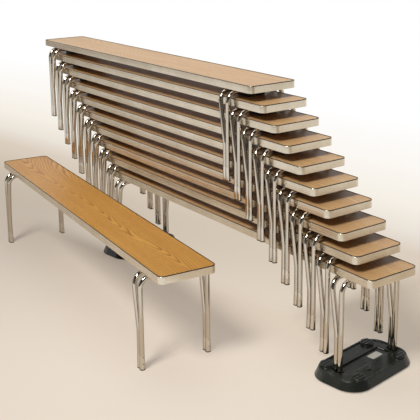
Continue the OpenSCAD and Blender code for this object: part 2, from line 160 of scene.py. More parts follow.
def oak_laminate(name, turn, middle, pale, deep, line):
    """Laminate for boards turned about their middle. pale and deep are the ground, line the dark side of a ring."""
    material, tree, shader = new_material(name)
    place = add(tree, "ShaderNodeTexCoord").outputs["Object"]
    along = add(tree, "ShaderNodeMapping", {"vector_type": "TEXTURE"}, Vector=place,
                Location=middle, Rotation=(0, 0, turn)).outputs[0]
    # Flames are nested arches about a wandering middle line, and run on as lines 9 mm apart beside it
    drift_way = add(tree, "ShaderNodeMapping", Vector=along, Scale=DRIFT_SCALE).outputs[0]
    drift = add(tree, "ShaderNodeTexNoise", Vector=drift_way, Scale=1.0, Detail=1.0).outputs["Fac"]
    axes = add(tree, "ShaderNodeSeparateXYZ", Vector=along)
    off = add(tree, "ShaderNodeMath", {"operation": "MULTIPLY_ADD"}, _0=drift, _1=WANDER, _2=-WANDER / 2).outputs[0]
    across = add(tree, "ShaderNodeMath", {"operation": "SUBTRACT"}, _0=axes.outputs["Y"], _1=off).outputs[0]
    square = add(tree, "ShaderNodeMath", {"operation": "MULTIPLY"}, _0=across, _1=across).outputs[0]
    blunted = add(tree, "ShaderNodeMath", {"operation": "ADD"}, _0=square, _1=BLUNTNESS).outputs[0]
    arch = add(tree, "ShaderNodeMath", {"operation": "SQRT"}, _0=blunted).outputs[0]
    climb = add(tree, "ShaderNodeMath", {"operation": "MULTIPLY"}, _0=axes.outputs["X"], _1=LINES_ALONG).outputs[0]
    rise = add(tree, "ShaderNodeMath", {"operation": "MULTIPLY_ADD"}, _0=arch, _1=LINES_ACROSS, _2=climb).outputs[0]
    planks = add(tree, "ShaderNodeMapping", Vector=along, Scale=SWELL_SCALE).outputs[0]
    swell = add(tree, "ShaderNodeTexNoise", Vector=planks, Scale=1.0, Detail=2.0, Roughness=0.45).outputs["Fac"]
    rings = add(tree, "ShaderNodeMath", {"operation": "MULTIPLY_ADD"}, _0=swell, _1=LINES_PER_SWELL,
                _2=rise).outputs[0]
    # The part after the decimal point goes from pale to dark over each ring and then jumps back
    saw = add(tree, "ShaderNodeMath", {"operation": "FRACT"}, _0=rings).outputs[0]
    grain = add(tree, "ShaderNodeValToRGB", Fac=saw,
                stops=((0.0, WHITE), (0.5, PALE_GREY), (0.82, BLACK), (1.0, WHITE))).outputs["Color"]
    # Pores are about 1 mm wide and 25 mm long
    fibre = add(tree, "ShaderNodeMapping", Vector=along, Scale=PORE_SCALE).outputs[0]
    pores = add(tree, "ShaderNodeTexNoise", Vector=fibre, Scale=1.0, Detail=2.0, Roughness=0.5).outputs["Fac"]
    streaks = add(tree, "ShaderNodeValToRGB", Fac=pores, stops=((0.36, BLACK), (0.56, WHITE))).outputs["Color"]
    broad = add(tree, "ShaderNodeMapping", Vector=along, Scale=BROAD_SCALE).outputs[0]
    tone = add(tree, "ShaderNodeTexNoise", Vector=broad, Scale=1.0, Detail=1.0).outputs["Fac"]
    ground = add(tree, "ShaderNodeValToRGB", Fac=tone,
                 stops=((0.3, linear(deep)), (0.7, linear(pale)))).outputs["Color"]
    ringed = add(tree, "ShaderNodeMix", {"data_type": "RGBA"}, _0=grain, _6=linear(line), _7=ground).outputs[2]
    pored = add(tree, "ShaderNodeMix", {"data_type": "RGBA"}, _0=streaks, _6=linear(line), _7=ringed).outputs[2]
    mild = add(tree, "ShaderNodeMix", {"data_type": "RGBA"}, _0=PORE_STRENGTH, _6=ringed, _7=pored).outputs[2]
    rough = add(tree, "ShaderNodeMapRange", Value=pores, To_Min=0.42, To_Max=0.32).outputs[0]
    bump = add(tree, "ShaderNodeBump", Strength=0.25, Distance=0.0002, Height=streaks).outputs[0]
    connect(tree, shader, Base_Color=mild, Roughness=rough, Normal=bump, Specular_IOR_Level=0.4)
    return material


# %% [markdown]
# The edge is extruded aluminium, satin anodised. It is a little warmer and darker than bare metal, and the die drew
# fine lines along its length. They could be an anisotropic gloss, but noise that is very long one way needs no
# direction to be worked out at the corners, and it drives both the roughness and a faint bump.


# %% Anodised aluminium
def anodised_aluminium(name):
    """Satin metal with drawing lines that run level round the seat."""
    material, tree, shader = new_material(name)
    place = add(tree, "ShaderNodeTexCoord").outputs["Object"]
    # Drawing lines are finer than the render can show, so they are drawn about 1.5 mm apart
    lines = add(tree, "ShaderNodeMapping", Vector=place, Scale=(6.0, 6.0, 650.0)).outputs[0]
    drawn = add(tree, "ShaderNodeTexNoise", Vector=lines, Scale=1.0, Detail=2.0).outputs["Fac"]
    cloud = add(tree, "ShaderNodeTexNoise", Vector=place, Scale=9.0, Detail=3.0).outputs["Fac"]
    tint = add(tree, "ShaderNodeValToRGB", Fac=cloud,
               stops=((0.3, linear("#D2C6B0")), (0.7, linear("#E0D5C2")))).outputs["Color"]
    rough = add(tree, "ShaderNodeMapRange", Value=drawn, To_Min=0.2, To_Max=0.32).outputs[0]
    bump = add(tree, "ShaderNodeBump", Strength=0.12, Distance=0.0002, Height=drawn).outputs[0]
    connect(tree, shader, Base_Color=tint, Metallic=1.0, Roughness=rough, Normal=bump)
    return material


# %% [markdown]
# The legs are steel tube, bent and then chromium plated. Chrome mirrors the room, so it needs little of its own: a
# neutral tint, a very low roughness, and faint smears where hands and other benches have rubbed it. A dark specular
# tint is painted shade: it darkens the chrome where it is seen edge on, and so paints a dark line down both sides of a
# tube where a dark room would be mirrored, so no lamp has to be placed for it. The screws' zinc is the same recipe,
# but dull.


# %% Chromed steel
def chromed_steel(name, tint, smooth, rubbed, painted_edge_shade="#FFFFFF"):
    """Plated steel, whose roughness goes from smooth to rubbed. painted_edge_shade is painted shade where it is seen
    edge on.
    """
    material, tree, shader = new_material(name)
    place = add(tree, "ShaderNodeTexCoord").outputs["Object"]
    smear = add(tree, "ShaderNodeTexNoise", Vector=place, Scale=22.0, Detail=5.0, Roughness=0.65).outputs["Fac"]
    rough = add(tree, "ShaderNodeMapRange", Value=smear, From_Min=0.35, From_Max=0.75, To_Min=smooth,
                To_Max=rubbed).outputs[0]
    # A dark Specular Tint paints shade down both sides of a tube
    connect(tree, shader, Base_Color=linear(tint), Metallic=1.0, Roughness=rough, Specular_Tint=linear(painted_edge_shade))
    return material


# %% [markdown]
# The dollies are moulded ABS, and the glides and pads are rubber. Plastics and rubbers are one recipe with other
# numbers: a base colour with slight clouding, a grain in millimetres that the mould left on the surface, and a
# roughness that says how matt the piece is. One function therefore makes them all.


# %% Moulded plastics and rubbers
def moulded(name, dark, light, roughness, grain_mm, relief, soften=0.0):
    """A moulded piece's finish. relief is the grain's strength, soften the radius that sharp corners seem to have."""
    material, tree, shader = new_material(name)
    place = add(tree, "ShaderNodeTexCoord").outputs["Object"]
    cloud = add(tree, "ShaderNodeTexNoise", Vector=place, Scale=14.0, Detail=4.0).outputs["Fac"]
    tint = add(tree, "ShaderNodeValToRGB", Fac=cloud,
               stops=((0.35, linear(dark)), (0.65, linear(light)))).outputs["Color"]
    grit = add(tree, "ShaderNodeTexNoise", Vector=place, Scale=1000.0 / grain_mm, Detail=2.0).outputs["Fac"]
    rough = add(tree, "ShaderNodeMapRange", Value=cloud, To_Min=roughness - 0.06, To_Max=roughness + 0.06).outputs[0]
    bump = add(tree, "ShaderNodeBump", Strength=relief, Distance=0.0003, Height=grit)
    if soften:
        # The Bevel node rounds the look of the moulding's sharp corners by its radius
        connect(tree, bump, Normal=add(tree, "ShaderNodeBevel", {"samples": 6}, Radius=soften).outputs[0])
    connect(tree, shader, Base_Color=tint, Roughness=rough, Normal=bump.outputs[0])
    return material


# %% [markdown]
# Now each finish gets its own numbers. The stack's laminate has a paler, greyer ground than the single bench's: that
# is painted sheen, the pale gloss its boards show at a low angle. The single bench's board is turned on the floor, so
# its grain is turned about the board's middle too, or it would run askew.

# %% Materials of the set
# The stack's paler, greyer ground is painted sheen, the pale gloss its boards show at a low angle
OAK_STACK_PAINTED_SHEEN = oak_laminate("oak_laminate", 0.0, (0.0, 0.0, 0.0), "#D4B07F", "#C9A271", "#A37C54")
single_low, single_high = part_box("single_seat_board")
single_middle = ((single_low + single_high) / 2)[:]
OAK_SINGLE = oak_laminate("oak_laminate_turned", SINGLE_TURN, single_middle, "#D39E4C", "#C5903F", "#8F5C24")
ALUMINIUM = anodised_aluminium("satin_anodised_aluminium")
# The dark last colour of the chrome and of the sleeve paints shade down both sides of each tube
CHROME = chromed_steel("chromed_steel_tube", "#C6BDAF", 0.04, 0.14, "#2A241E")
ZINC = chromed_steel("zinc_plated_steel", "#B9B6AE", 0.28, 0.42)
FERRULE = chromed_steel("chromed_foot_sleeve", "#D2CABD", 0.05, 0.15, "#2A241E")
# The dark bead round each seat is painted shade, in the gap between board and edge
PAINTED_SHADE_BEAD = moulded("dark_seam_filler", "#1E1712", "#2A2019", 0.6, 0.8, 0.1)
RUBBER = moulded("black_rubber", "#1C1B1A", "#262523", 0.62, 0.8, 0.3)
ABS = moulded("black_moulded_abs", "#1C1F1B", "#242722", 0.27, 0.7, 0.12, soften=0.003)
TYRE = moulded("grey_castor_tyre", "#2B2B2A", "#3A3A38", 0.55, 0.9, 0.2)
LABEL = moulded("blank_label_card", "#B8B8B2", "#C4C4BE", 0.5, 1.5, 0.08)
print("materials:", len(bpy.data.materials))

# %% [markdown]
# Tubes, edges and feet repeat on eleven benches, so Geometry Nodes make them: a tree is a recipe that is built once
# and run with other numbers. These tools make a tree, give it a seed mesh to work on, and turn what comes out into a
# plain mesh.


# %% Tools for Geometry Nodes
def new_tree(name, **inputs):
    """A Geometry Nodes tree with named inputs, given as name=socket type."""
    tree = bpy.data.node_groups.new(name, "GeometryNodeTree")
    tree.interface.new_socket("Geometry", in_out="INPUT", socket_type="NodeSocketGeometry")
    for key, kind in inputs.items():
        tree.interface.new_socket(key.replace("_", " "), in_out="INPUT", socket_type="NodeSocket" + kind)
    tree.interface.new_socket("Geometry", in_out="OUTPUT", socket_type="NodeSocketGeometry")
    return tree, tree.nodes.new("NodeGroupInput").outputs


def close_tree(tree, geometry, material):
    """Ends a tree: instances are made real, the material is set and the result goes out."""
    real = add(tree, "GeometryNodeRealizeInstances", Geometry=geometry).outputs[0]
    dressed = add(tree, "GeometryNodeSetMaterial", Geometry=real, Material=material).outputs[0]
    add(tree, "NodeGroupOutput", Geometry=dressed)
    print("tree", tree.name, "has", len(tree.nodes), "nodes")


def seed_mesh(name, points, links=(), **attributes):
    """Points and the links between them, with a number stored on each point for each attribute."""
    mesh = bpy.data.meshes.new(name)
    mesh.from_pydata(points, links, [])
    for key, values in attributes.items():
        mesh.attributes.new(key, "FLOAT", "POINT").data.foreach_set("value", values)
    return mesh


def finish_piece(name, mesh, sharp=35):
    """Merges doubles, points the faces outwards, smooths all but the sharp edges, and puts the mesh in the scene."""
    form = bmesh.new()
    form.from_mesh(mesh)
    bmesh.ops.remove_doubles(form, verts=form.verts, dist=1e-6)
    bmesh.ops.recalc_face_normals(form, faces=form.faces)
    form.to_mesh(mesh)
    form.free()
    mesh.shade_smooth()
    mesh.set_sharp_from_angle(angle=math.radians(sharp))
    piece = bpy.data.objects.new(name, mesh)
    scene.collection.objects.link(piece)
    return piece


def bake(name, tree, mesh, sharp=35, **inputs):
    """Runs a tree on a mesh and returns the result as an object with a plain mesh."""
    seed = bpy.data.objects.new(name + "_seed", mesh)
    scene.collection.objects.link(seed)
    modifier = seed.modifiers.new(tree.name, "NODES")
    modifier.node_group = tree
    for item in tree.interface.items_tree:
        key = item.name.replace(" ", "_")
        if item.in_out == "INPUT" and key in inputs:
            modifier[item.identifier] = inputs[key]
    made = bpy.data.meshes.new_from_object(seed.evaluated_get(bpy.context.evaluated_depsgraph_get()))
    bpy.data.objects.remove(seed)
    return finish_piece(name, made, sharp)


# %% [markdown]
# A tube that is bent in a machine is straight runs joined by arcs of set radii. It could be modelled as a curve with
# round handles, but then no radius is exact. The Fillet Curve node makes just these arcs from a few corner points, so
# the first tree turns a polyline into a bent tube. The radius of each bend is stored on the polyline's own points.

# %% The bent tube tree
BENT_TUBE, tube_in = new_tree("bent_tube", Tube_Radius="Float", Sides="Int", Bend_Steps="Int", Finish="Material")
tube_path = add(BENT_TUBE, "GeometryNodeMeshToCurve", Mesh=tube_in["Geometry"]).outputs[0]
bend_size = add(BENT_TUBE, "GeometryNodeInputNamedAttribute", {"data_type": "FLOAT"}, Name="bend").outputs["Attribute"]
bent_path = add(BENT_TUBE, "GeometryNodeFilletCurve", {"mode": "POLY"}, Curve=tube_path,
                Count=tube_in["Bend Steps"], Radius=bend_size).outputs[0]
tube_section = add(BENT_TUBE, "GeometryNodeCurvePrimitiveCircle", Resolution=tube_in["Sides"],
                   Radius=tube_in["Tube Radius"]).outputs[0]
tube_skin = add(BENT_TUBE, "GeometryNodeCurveToMesh", Curve=bent_path, Profile_Curve=tube_section,
                Fill_Caps=True).outputs[0]
close_tree(BENT_TUBE, tube_skin, tube_in["Finish"])

# %% [markdown]
# The metal edge is one extruded section, bent round the seat. Four straight bars and four corners would show their
# joints, so the section is swept round a rectangle with filleted corners in one go. It comes in as the seed mesh.

# %% The swept edge tree
SWEPT_EDGE, edge_in = new_tree("swept_edge", Length="Float", Width="Float", Corner_Radius="Float",
                               Corner_Steps="Int", Finish="Material")
edge_section = add(SWEPT_EDGE, "GeometryNodeMeshToCurve", Mesh=edge_in["Geometry"]).outputs[0]
edge_path = add(SWEPT_EDGE, "GeometryNodeCurvePrimitiveQuadrilateral", {"mode": "RECTANGLE"},
                Width=edge_in["Length"], Height=edge_in["Width"]).outputs[0]
rounded_path = add(SWEPT_EDGE, "GeometryNodeFilletCurve", {"mode": "POLY"}, Curve=edge_path,
                   Count=edge_in["Corner Steps"], Radius=edge_in["Corner Radius"]).outputs[0]
upright_path = add(SWEPT_EDGE, "GeometryNodeSetCurveNormal", {"mode": "Z_UP"}, Curve=rounded_path).outputs[0]
edge_skin = add(SWEPT_EDGE, "GeometryNodeCurveToMesh", Curve=upright_path, Profile_Curve=edge_section).outputs[0]
close_tree(SWEPT_EDGE, edge_skin, edge_in["Finish"])

# %% [markdown]
# Feet, pads, plates, welds and screws repeat at the four corners of a bench. Each is modelled once, and a third tree
# sets a copy on every point of a seed mesh, turned by the angle that is stored there. Copies made by hand would look
# the same, but a change to the model would have to be made in each of them.

# %% The copies tree
COPIES, copies_in = new_tree("copies_on_points", Piece="Object", Finish="Material")
points_only = add(COPIES, "GeometryNodeMeshToPoints", Mesh=copies_in["Geometry"]).outputs[0]
model = add(COPIES, "GeometryNodeObjectInfo", Object=copies_in["Piece"]).outputs["Geometry"]
angle = add(COPIES, "GeometryNodeInputNamedAttribute", {"data_type": "FLOAT"}, Name="turn").outputs["Attribute"]
turning = add(COPIES, "ShaderNodeCombineXYZ", Z=angle).outputs[0]
copies = add(COPIES, "GeometryNodeInstanceOnPoints", Points=points_only, Instance=model, Rotation=turning).outputs[0]
close_tree(COPIES, copies, copies_in["Finish"])

# %% [markdown]
# The models for the copies come next. A foot is two tubes welded together, held in one chromed sleeve that stands on
# a rubber glide. Sleeve and glide share one outline, two circles side by side with a filled waist. Two cylinders
# joined by a Boolean would give it too, but outlines that are skinned over a few heights keep the mesh clean and let
# the sleeve taper.

# %% Models of the sleeve and the glide
SLEEVE_WALL, SLEEVE_TOP, GLIDE_THICKNESS = 0.0013, 0.062, 0.003
SLEEVE_RADIUS = TUBE_RADIUS + SLEEVE_WALL
GLIDE_RADIUS = SLEEVE_RADIUS + 0.0002
# How far inside its radius the outline lies, and at what height. The sleeve thins out to a feather edge at its top
SLEEVE_LAYERS = ((0.0006, GLIDE_THICKNESS), (0.0003, GLIDE_THICKNESS + 0.002), (0.0007, SLEEVE_TOP - 0.012),
                 (0.0011, SLEEVE_TOP))
GLIDE_LAYERS = ((0.0006, 0.0), (0.0, 0.0006), (0.0, GLIDE_THICKNESS + 0.001), (0.0004, GLIDE_THICKNESS + 0.0014))
PIP_HEIGHTS, PIP_RADIUS, PIP_FLATNESS, PIP_SINK = (0.027, 0.056), 0.0019, 0.6, 0.0002


def twin_outline(radius, steps=20):
    """The outline of two circles a foot's pitch apart, closed where they cross."""
    half = FOOT_PITCH / 2
    # Each arc ends a little short of the crossing, so that no two points fall together there
    start = math.acos(min(1.0, half / radius)) * 1.02
    right = [(half + radius * math.cos(a), radius * math.sin(a))
             for a in (-math.pi + start + (2 * math.pi - 2 * start) * k / steps for k in range(steps + 1))]
    return right + [(-x, -y) for x, y in right]


def stack_outlines(form, layers):
    """Skins a solid over outlines at given heights and closes its top and bottom."""
    rings = [[form.verts.new((x, y, z)) for x, y in outline] for outline, z in layers]
    for low, high in zip(rings, rings[1:]):
        for k in range(len(low)):
            form.faces.new((low[k - 1], low[k], high[k], high[k - 1]))
    form.faces.new(rings[0][::-1])
    form.faces.new(rings[-1])


def build_sleeve(form):
    """A thin sleeve round both tubes, a little wider near its foot."""
    stack_outlines(form, [(twin_outline(SLEEVE_RADIUS - inside), z) for inside, z in SLEEVE_LAYERS])


def build_glide(form):
    """The rubber under the sleeve. It shows again in the pips that lock it there."""
    stack_outlines(form, [(twin_outline(GLIDE_RADIUS - inside), z) for inside, z in GLIDE_LAYERS])
    for side in (-1, 1):
        for height in PIP_HEIGHTS:
            pip = Matrix.Translation((side * (FOOT_PITCH / 2 + SLEEVE_RADIUS - PIP_SINK), 0, height))
            bmesh.ops.create_uvsphere(form, u_segments=12, v_segments=8, radius=PIP_RADIUS,
                                      matrix=pip @ Matrix.Diagonal((PIP_FLATNESS, 1, 1, 1)))


# %% [markdown]
# Under the seat, a pad keeps the bench above off the legs, a folded plate carries the board on each pair of hoops,
# and two screws hold each plate. Weld beads join the tubes above the foot. These shapes are small and plain, so each
# is written out from its own few numbers.

# %% Models of the pad, plate, weld and screw
PAD_DROP, PAD_LENGTH, PAD_SIDE, PAD_ROUND = 0.018, 0.030, 0.003, 0.0025
# The plate's web ends 0.8 mm down in the hoop that carries it
PLATE_WIDTH, PLATE_THICKNESS, PLATE_OVER, PLATE_CHAMFER, PLATE_SINK = 0.040, 0.003, 0.024, 0.001, 0.0008
WELD_HEIGHTS, WELD_SIZE = (0.088, 0.140), (0.0052, 0.008, 0.026)
# Radius of the screw's round head, and the depth below the plate at which it has it
SCREW_LAYERS = ((0.0028, 0.0024), (0.0038, 0.0014), (0.004, 0.0))


def build_pad(form):
    """A block with rounded edges that hangs below the two hoops."""
    reach = SPREAD / 2 + TUBE_RADIUS + PAD_SIDE
    low = Vector((-reach, -PAD_LENGTH / 2, -TUBE_RADIUS - PAD_DROP))
    high = Vector((reach, PAD_LENGTH / 2, 0.0))
    bmesh.ops.create_cube(form, size=1.0, matrix=Matrix.Translation((low + high) / 2)
                          @ Matrix.Diagonal((*(high - low), 1.0)))
    bmesh.ops.bevel(form, geom=form.edges[:], offset=PAD_ROUND, segments=3, affect="EDGES", profile=0.5)


def build_plate(form):
    """A folded plate: a flat top under the board, with a web down each side."""
    reach = SPREAD / 2 + PLATE_OVER
    half = PLATE_WIDTH / 2
    inner = half - PLATE_THICKNESS
    web_foot = HOOP_Z + TUBE_RADIUS - PLATE_SINK
    under = BOARD_Z - PLATE_THICKNESS
    profile = [(-half, web_foot), (-half, BOARD_Z - PLATE_CHAMFER), (-half + PLATE_CHAMFER, BOARD_Z),
               (half - PLATE_CHAMFER, BOARD_Z), (half, BOARD_Z - PLATE_CHAMFER), (half, web_foot),
               (inner, web_foot), (inner, under), (-inner, under), (-inner, web_foot)]
    ends = [[form.verts.new((x, y, z)) for y, z in profile] for x in (-reach, reach)]
    for k in range(len(profile)):
        form.faces.new((ends[0][k - 1], ends[0][k], ends[1][k], ends[1][k - 1]))
    for ring in ends:
        form.faces.new(ring)


def build_weld(form):
    """Two long beads between the tubes of a foot."""
    for height in WELD_HEIGHTS:
        bmesh.ops.create_uvsphere(form, u_segments=12, v_segments=10, radius=0.5,
                                  matrix=Matrix.Translation((0, 0, height)) @ Matrix.Diagonal((*WELD_SIZE, 1)))


def build_screw(form):
    """A round head under the plate."""
    circle = [(math.cos(a), math.sin(a)) for a in (math.radians(15 * k) for k in range(24))]
    stack_outlines(form, [([(radius * x, radius * y) for x, y in circle], BOARD_Z - PLATE_THICKNESS - drop)
                          for radius, drop in SCREW_LAYERS])


def model_piece(name, build):
    """Builds a model with a function that fills a bmesh. The model itself isn't part of the set."""
    form = bmesh.new()
    build(form)
    mesh = bpy.data.meshes.new(name)
    form.to_mesh(mesh)
    form.free()
    return finish_piece(name, mesh)


MODELS = {name: model_piece("model_" + name, build)
          for name, build in (("sleeve", build_sleeve), ("glide", build_glide), ("pad", build_pad),
                              ("plate", build_plate), ("weld", build_weld), ("screw", build_screw))}
print("models:", {name: len(piece.data.polygons) for name, piece in MODELS.items()})

# %% [markdown]
# Now a bench. Its hoops are four polylines: at each end an outer hoop that stands upright and an inner one that
# starts beside it and leans away above the weld. Everything is worked out for the right-hand end and mirrored by the
# sign of X, which keeps the two ends alike without a Mirror modifier to apply.

# %% Paths and places on a bench
SHOULDER_RADIUS = 0.045
# A tube ends just above the glide that closes it
TUBE_FOOT = GLIDE_THICKNESS + 0.0005


def hoop_paths():
    """Corner points, links and bend radii of the four hoops of a bench."""
    kink = LEAN_FROM + LEAN_RADIUS * math.tan(LEAN / 2)
    outer = [(HOOP_X, TUBE_FOOT, 0.0), (HOOP_X, HOOP_Z, SHOULDER_RADIUS)]
    inner = [(HOOP_X - FOOT_PITCH, TUBE_FOOT, 0.0), (HOOP_X - FOOT_PITCH, kink, LEAN_RADIUS),
             (HOOP_X - SPREAD, HOOP_Z, SHOULDER_RADIUS)]
    points, links, bends = [], [], []
    for side in (-1, 1):
        for leg in (outer, inner):
            first = len(points)
            run = [(side * x, -LEG_Y, z, b) for x, z, b in leg] + [(side * x, LEG_Y, z, b) for x, z, b in leg[::-1]]
            points += [p[:3] for p in run]
            bends += [p[3] for p in run]
            links += [(k, k + 1) for k in range(first, first + len(run) - 1)]
    return points, links, bends


def four_places(x, y, z=0.0):
    """The same place at all four corners of a bench, with the turn that mirrors the right-hand end."""
    return [((side * x, across * y, z), 0.0 if side > 0 else math.pi) for side in (-1, 1) for across in (-1, 1)]


print("points of a bench's hoops:", len(hoop_paths()[0]))

# %% [markdown]
# The edge's section is a tall outer wall with a rounded top, a ledge that carries the board, and a lip below. A dark
# bead runs round the seat where board and edge meet, and shows as a thin line: it is painted shade, a dark thing put
# in the gap between board and edge, which lies in shadow. It could be painted on as a stripe, but a bead with a
# section of its own catches the light and stays sharp in a close view.

# %% Sections of the edge and the painted-shade bead
EDGE_WALL, EDGE_ROUND = 0.0026, 0.0018
LEDGE_WIDTH, LEDGE_THICKNESS, LIP_WIDTH = 0.012, 0.002, 0.006
LEDGE_Z = EDGE_HEIGHT - BOARD_THICKNESS
EDGE_SECTION = ([(0.0, 0.0)]
                + [(EDGE_ROUND * (math.cos(a) - 1), EDGE_HEIGHT + EDGE_ROUND * (math.sin(a) - 1))
                   for a in (math.radians(15 * k) for k in range(7))]
                + [(-EDGE_WALL, EDGE_HEIGHT), (-EDGE_WALL, LEDGE_Z), (-EDGE_WALL - LEDGE_WIDTH, LEDGE_Z),
                   (-EDGE_WALL - LEDGE_WIDTH, LEDGE_Z - LEDGE_THICKNESS), (-EDGE_WALL, LEDGE_Z - LEDGE_THICKNESS),
                   (-EDGE_WALL, EDGE_WALL), (-LIP_WIDTH - EDGE_WALL, EDGE_WALL), (-LIP_WIDTH - EDGE_WALL, 0.0)])
# The painted-shade bead stands 1.6 mm above the seat. Flatter, it would be too thin to show in the render
BEAD_TOP = EDGE_HEIGHT + 0.0016
SHADE_BEAD_SECTION = [(-0.0007, EDGE_HEIGHT - 0.0012), (-0.0010, BEAD_TOP), (-0.0038, BEAD_TOP),
                (-0.0042, EDGE_HEIGHT - 0.001)]
print("corners of the sections: edge", len(EDGE_SECTION), "seam", len(SHADE_BEAD_SECTION))

# %% [markdown]
# Each finished piece is moved to its bench, with the place written into its mesh. It is told which body of the frame
# it rides on, and which solids it stands for. One function does this for every piece, so the eleven benches can't
# differ.

# %% Dress the benches
TUBE_SIDES, BEND_STEPS = 28, 10
CORNER_RADIUS, CORNER_STEPS = 0.025, 14
# From the bench's middle line out to the pads and plates, and in from a plate's end to its screws
PAD_OFFSET, PLATE_OFFSET, SCREW_INSET = 0.030, 0.080, 0.007


def place_of(board_node, turn):
    """Where a bench's own frame sits, read from its seat board."""
    low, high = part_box(board_node)
    middle = (low + high) / 2
    return Matrix.Translation((middle.x, middle.y, high.z - SEAT_HEIGHT)) @ Matrix.Rotation(turn, 4, "Z")


def settle(piece, place, body, slot, *replaced):
    """Moves a piece's mesh to its bench, says what it rides on, and hides what it stands for. slot is not used."""
    piece.data.transform(place)
    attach(piece, body)
    if replaced:
        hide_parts(*replaced)


def repeated(name, model_name, places, finish):
    """One piece made of copies of a model at (place, turn) pairs."""
    seed = seed_mesh(name, [p for p, _ in places], turn=[t for _, t in places])
    return bake(name, COPIES, seed, Piece=MODELS[model_name], Finish=finish)


def dress_bench(tag, body, place, legs, edge):
    """Makes the hoops, edge and feet of a bench. legs and edge name the solids that they stand for."""
    points, links, bends = hoop_paths()
    hoops = bake("hoops_" + tag, BENT_TUBE, seed_mesh("hoops", points, links, bend=bends), Tube_Radius=TUBE_RADIUS,
                 Sides=TUBE_SIDES, Bend_Steps=BEND_STEPS, Finish=CHROME)
    settle(hoops, place, body, "chromed_tube", *legs)
    # The second rim is the dark bead, painted shade between board and edge
    for kind, section, finish, slot, replaced in (("edge", EDGE_SECTION, ALUMINIUM, "anodised_aluminium", [edge]),
                                                  ("seam", SHADE_BEAD_SECTION, PAINTED_SHADE_BEAD, "black_rubber", [])):
        ring = [(x, -z, 0.0) for x, z in section]
        closed = [(k, (k + 1) % len(ring)) for k in range(len(ring))]
        rim = bake(kind + "_" + tag, SWEPT_EDGE, seed_mesh(kind, ring, closed), sharp=25, Length=SEAT_LENGTH,
                   Width=SEAT_WIDTH, Corner_Radius=CORNER_RADIUS, Corner_Steps=CORNER_STEPS, Finish=finish)
        settle(rim, place @ Matrix.Translation((0, 0, EDGE_Z)), body, slot, *replaced)
    between = HOOP_X - SPREAD / 2
    feet = four_places(HOOP_X - FOOT_PITCH / 2, LEG_Y)
    pads = four_places(between, PAD_OFFSET, HOOP_Z)
    plates = four_places(between, PLATE_OFFSET)
    screw_x = SPREAD / 2 + PLATE_OVER - SCREW_INSET
    screws = [((x + side * screw_x, y, z), 0.0) for (x, y, z), _ in plates for side in (-1, 1)]
    for kind, places, finish, slot in (
            ("sleeve", feet, FERRULE, "grey_sleeve"), ("glide", feet, RUBBER, "black_rubber"),
            ("weld", feet, CHROME, "chromed_tube"), ("pad", pads, RUBBER, "black_rubber"),
            ("plate", plates, ZINC, "zinc_steel"), ("screw", screws, ZINC, "zinc_steel")):
        settle(repeated(kind + "s_" + tag, kind, places, finish), place, body, slot, *legs)


for number in range(1, 11):
    tag = "%02d" % number
    dress_bench(tag, "bench_" + tag, place_of("seat_board_" + tag, 0.0), ["leg_frame_" + tag], "edge_frame_" + tag)
dress_bench("single", "single_bench", place_of("single_seat_board", SINGLE_TURN),
            ["single_left_legs", "single_right_legs", "single_foot_sleeves", "single_foot_glides",
             "single_stacking_pads", "single_frame_screws"], "single_edge_frame")
for piece in MODELS.values():
    bpy.data.objects.remove(piece)
low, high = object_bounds()
print("dressed to", [round(v, 4) for v in low], [round(v, 4) for v in high])

# %% [markdown]
# The boards, the dollies and their castors already have the right shape as solids. Making them again would only add
# a chance of error, so they keep it and get their finish.

# %% Finishes of the solids that stay
FINISHES = {"seat_board": OAK_STACK_PAINTED_SHEEN, "single_seat_board": OAK_SINGLE, "left_dolly_tray": ABS,
            "right_dolly_tray": ABS, "dolly_label_plates": LABEL, "castor_plates": ZINC, "castor_fork": ZINC,
            "castor_wheel": TYRE}
finished = 0
for name, node in NODES.items():
    finish = next((f for start, f in FINISHES.items() if name.startswith(start)), None)
    if finish and node.data.materials:
        finished += 1
        for slot in node.material_slots:
            slot.material = finish
print("solids with their own finish:", finished)

# %% [markdown]
# The studio is one sheet of pale paper that lies on the floor and sweeps up into white light behind the set. A
# curved sheet would cut off the view from behind, so here the floor is flat and very large, and its colour alone
# brightens with distance.

# %% Floor
FLOOR_SIZE = 40.0
floor_mesh = bpy.data.meshes.new("studio_floor")
floor_mesh.from_pydata([(x * FLOOR_SIZE, y * FLOOR_SIZE, 0.0) for x, y in ((-1, -1), (1, -1), (1, 1), (-1, 1))], [],
                       [(0, 1, 2, 3)])
floor = bpy.data.objects.new("studio_floor", floor_mesh)
scene.collection.objects.link(floor)
print("floor: %.0f m square" % (2 * FLOOR_SIZE))

# %% [markdown]
# Background paper is matt and takes the set's shadows. Its tone is a colour ramp over the distance towards the back of
# the studio, with a darker band of painted shade behind the set, and its near left part is darkened by painted shade.
# Stronger lamps could make the far paper white, but they would bleach the benches too. So the paper has a share of
# light of its own, an Emission shader that only the camera's and mirrored rays see.

# %% Background paper
SOFT_STEP = {"interpolation_type": "SMOOTHSTEP"}
# Tones by metres from the set towards the back of the studio
BACKWARDS = (-0.197, 0.980, 0.0)
NEAR, FAR = -2.0, 4.0
# The darker stops from 0.4 to 1.25 m are painted shade in a band behind the set
PAPER_TONES = ((-1.5, "#DDD1C4"), (-0.8, "#E4D8CB"), (-0.2, "#E6DACC"), (0.4, "#E2D4C3"), (0.9, "#DACCBA"),
               (1.25, "#DBCEBF"), (1.55, "#EBE3D8"), (2.0, "#F6F0E6"), (2.8, "#FCF8F3"), (4.0, "#FFFFFF"))
# How dark the painted shade on the near left gets, and the least share of its own light that the paper shows
LEAST_LEFT_SHADE, LEAST_GLOW = 0.72, 0.42

